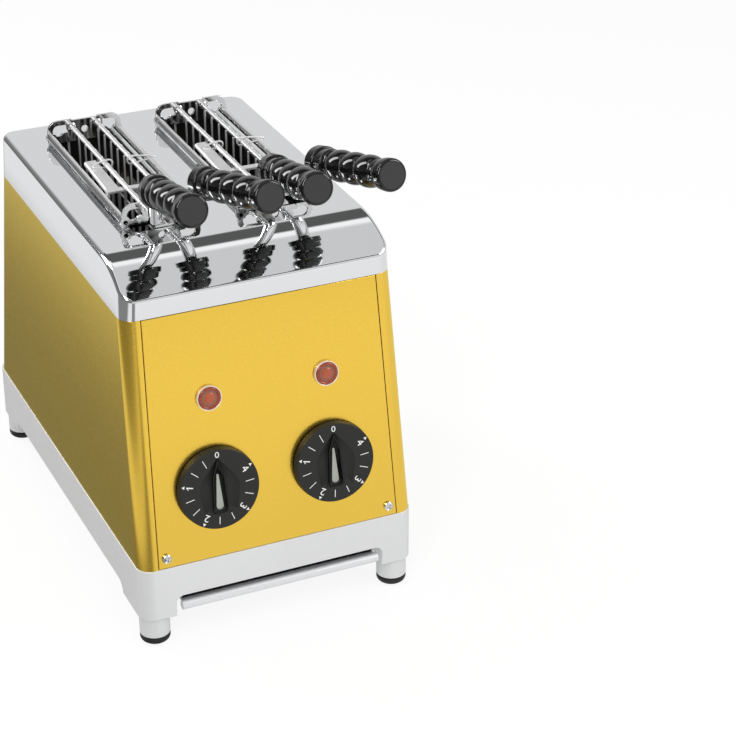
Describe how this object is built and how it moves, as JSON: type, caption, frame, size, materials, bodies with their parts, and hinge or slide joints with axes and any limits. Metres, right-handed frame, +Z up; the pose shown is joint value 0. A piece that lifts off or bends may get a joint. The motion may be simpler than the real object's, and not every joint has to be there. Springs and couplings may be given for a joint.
{
  "type": "two-slot toaster",
  "caption": "Tall sloped kitchen toaster with a gold body, mirror top, lift-out sandwich tongs, timer dials, pilot lamps and a slide-out crumb tray.",
  "frame": {"origin": "middle of the footprint, on the surface that the feet stand on", "axes": "+Z up, the controls face -Y, +X to the user's right"},
  "size_m": [0.211, 0.3904, 0.359],
  "materials": {
    "gold_satin": "satin anodised",
    "polished_steel": "mirror polished",
    "cast_aluminium": "satin cast",
    "sheet_steel": "plain sheet",
    "bright_steel": "bright drawn",
    "rubber_black": "matt",
    "ceramic_white": "unglazed ceramic",
    "quartz_milk": "milky quartz",
    "knob_grey": "matt moulded",
    "insert_grey": "matt moulded",
    "lamp_bezel": "gloss",
    "lamp_red": "moulded lens",
    "black_gloss": "high gloss"
  },
  "bodies": {
    "housing": {"body_wrap": "gold_satin", "front_panel": "gold_satin", "top_cap": "polished_steel", "base_frame": "cast_aluminium", "bottom_plate": "sheet_steel", "tray_runners": "sheet_steel", "heat_chamber": "sheet_steel", "timer_left": "sheet_steel", "timer_right": "sheet_steel", "panel_screws": "bright_steel", "bread_guards_left": "bright_steel", "bread_guards_right": "bright_steel", "rubber_feet": "rubber_black", "ceramic_holders_left": "ceramic_white", "ceramic_holders_right": "ceramic_white", "terminal_block": "ceramic_white", "quartz_heaters_left": "quartz_milk", "quartz_heaters_right": "quartz_milk", "lamp_bezel_left": "lamp_bezel", "lamp_bezel_right": "lamp_bezel", "lamp_lens_left": "lamp_red", "lamp_lens_right": "lamp_red", "cable_gland": "black_gloss"},
    "left_knob": {"knob_left": "knob_grey", "knob_insert_left": "insert_grey", "timer_shaft_left": "bright_steel"},
    "right_knob": {"knob_right": "knob_grey", "knob_insert_right": "insert_grey", "timer_shaft_right": "bright_steel"},
    "tray": {"crumb_tray": "sheet_steel", "tray_rim": "sheet_steel", "tray_pull": "sheet_steel"},
    "left_tong": {"left_tong_front_bracket": "bright_steel", "left_tong_rear_bracket": "bright_steel", "left_tong_rails": "bright_steel", "left_tong_cross_bar": "bright_steel"},
    "left_tong_left_half": {"left_tong_left_grid": "bright_steel", "left_tong_left_arm": "bright_steel", "left_tong_left_handle": "black_gloss"},
    "left_tong_right_half": {"left_tong_right_grid": "bright_steel", "left_tong_right_arm": "bright_steel", "left_tong_right_handle": "black_gloss"},
    "right_tong": {"right_tong_front_bracket": "bright_steel", "right_tong_rear_bracket": "bright_steel", "right_tong_rails": "bright_steel", "right_tong_cross_bar": "bright_steel"},
    "right_tong_left_half": {"right_tong_left_grid": "bright_steel", "right_tong_left_arm": "bright_steel", "right_tong_left_handle": "black_gloss"},
    "right_tong_right_half": {"right_tong_right_grid": "bright_steel", "right_tong_right_arm": "bright_steel", "right_tong_right_handle": "black_gloss"}
  },
  "joints": [
    {"name": "left_knob_turn", "type": "hinge", "parent": "housing", "child": "left_knob", "pos_m": [-0.044, -0.14823, 0.11643], "axis": [0, 0.9894, -0.1453], "range_deg": [0, 300]},
    {"name": "right_knob_turn", "type": "hinge", "parent": "housing", "child": "right_knob", "pos_m": [0.044, -0.14823, 0.11643], "axis": [0, 0.9894, -0.1453], "range_deg": [0, 300]},
    {"name": "tray_slide", "type": "slide", "parent": "housing", "child": "tray", "axis": [0, -1, 0], "range_m": [0, 0.25]},
    {"name": "left_tong_lift", "type": "slide", "parent": "housing", "child": "left_tong", "axis": [0, 0, 1], "range_m": [0, 0.15]},
    {"name": "left_tong_left_swing", "type": "hinge", "parent": "left_tong", "child": "left_tong_left_half", "pos_m": [-0.0531, 0, 0.2905], "axis": [0, 1, 0], "range_deg": [0, 8], "stiffness_Nm_per_rad": 0.2},
    {"name": "left_tong_right_swing", "type": "hinge", "parent": "left_tong", "child": "left_tong_right_half", "pos_m": [-0.0329, 0, 0.2905], "axis": [0, 1, 0], "range_deg": [-8, 0], "stiffness_Nm_per_rad": 0.2},
    {"name": "right_tong_lift", "type": "slide", "parent": "housing", "child": "right_tong", "axis": [0, 0, 1], "range_m": [0, 0.15]},
    {"name": "right_tong_left_swing", "type": "hinge", "parent": "right_tong", "child": "right_tong_left_half", "pos_m": [0.0329, 0, 0.2905], "axis": [0, 1, 0], "range_deg": [0, 8], "stiffness_Nm_per_rad": 0.2},
    {"name": "right_tong_right_swing", "type": "hinge", "parent": "right_tong", "child": "right_tong_right_half", "pos_m": [0.0531, 0, 0.2905], "axis": [0, 1, 0], "range_deg": [-8, 0], "stiffness_Nm_per_rad": 0.2}
  ],
  "couplings": [
    {"joint": "left_tong_right_swing", "follows": "left_tong_left_swing", "ratio": -1},
    {"joint": "right_tong_right_swing", "follows": "right_tong_left_swing", "ratio": -1}
  ]
}
